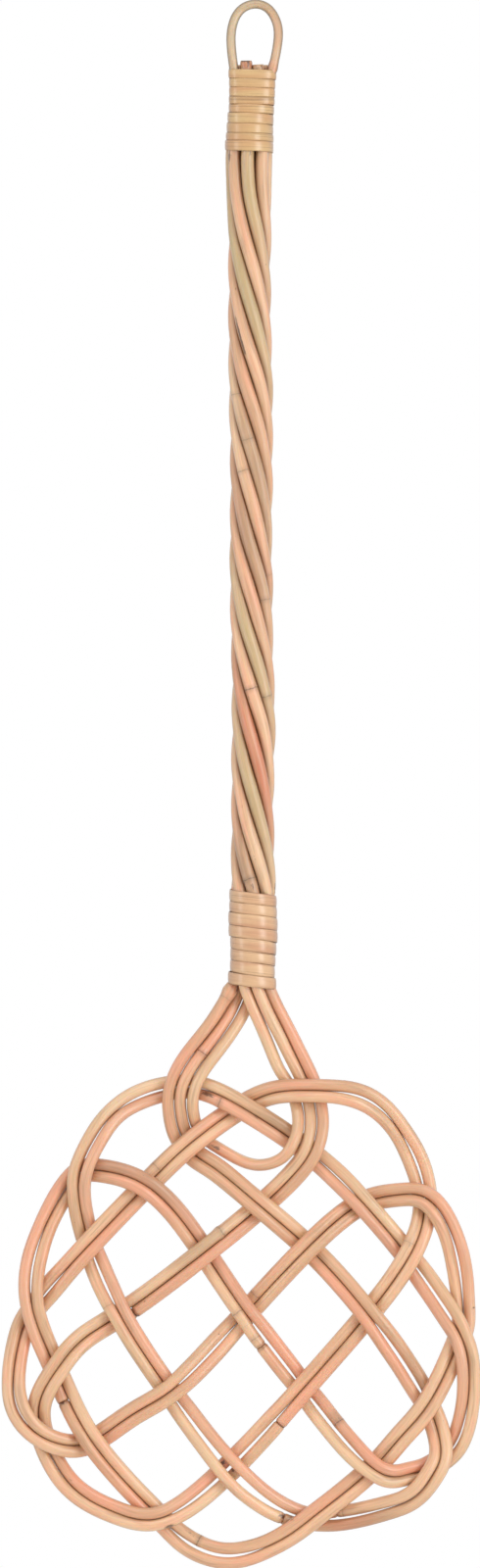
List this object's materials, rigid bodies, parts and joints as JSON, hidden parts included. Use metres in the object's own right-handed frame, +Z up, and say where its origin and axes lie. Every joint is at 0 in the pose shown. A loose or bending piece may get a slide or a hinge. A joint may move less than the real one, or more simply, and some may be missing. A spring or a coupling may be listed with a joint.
{
  "type": "carpet beater",
  "caption": "Rattan carpet beater: a flat head of canes woven in a looped knot, a long twisted handle bound at both ends, and a loop to hang it by.",
  "frame": {"origin": "inside top of the hanging loop, on the handle's axis, where a hook bears", "axes": "+Z up along the handle to the loop, -Y out of the face towards the viewer, +X to the viewer's right"},
  "size_m": [0.2388, 0.0248, 0.7806],
  "materials": {
    "strand_cane": "satin, varnished",
    "filler_cane": "satin, varnished",
    "core_cane": "satin",
    "loop_cane": "satin, varnished",
    "binding_strip": "glossy, varnished"
  },
  "bodies": {
    "root": {"strand_a_cane_1": "strand_cane", "strand_a_cane_2": "strand_cane", "strand_a_cane_3": "strand_cane", "strand_a_cane_4": "strand_cane", "strand_b_cane_1": "strand_cane", "strand_b_cane_2": "strand_cane", "strand_b_cane_3": "strand_cane", "strand_b_cane_4": "strand_cane", "teardrop_cane": "strand_cane", "handle_filler_cane": "filler_cane", "handle_core": "core_cane", "hanging_loop": "loop_cane", "top_binding": "binding_strip", "neck_binding": "binding_strip"}
  },
  "joints": []
}
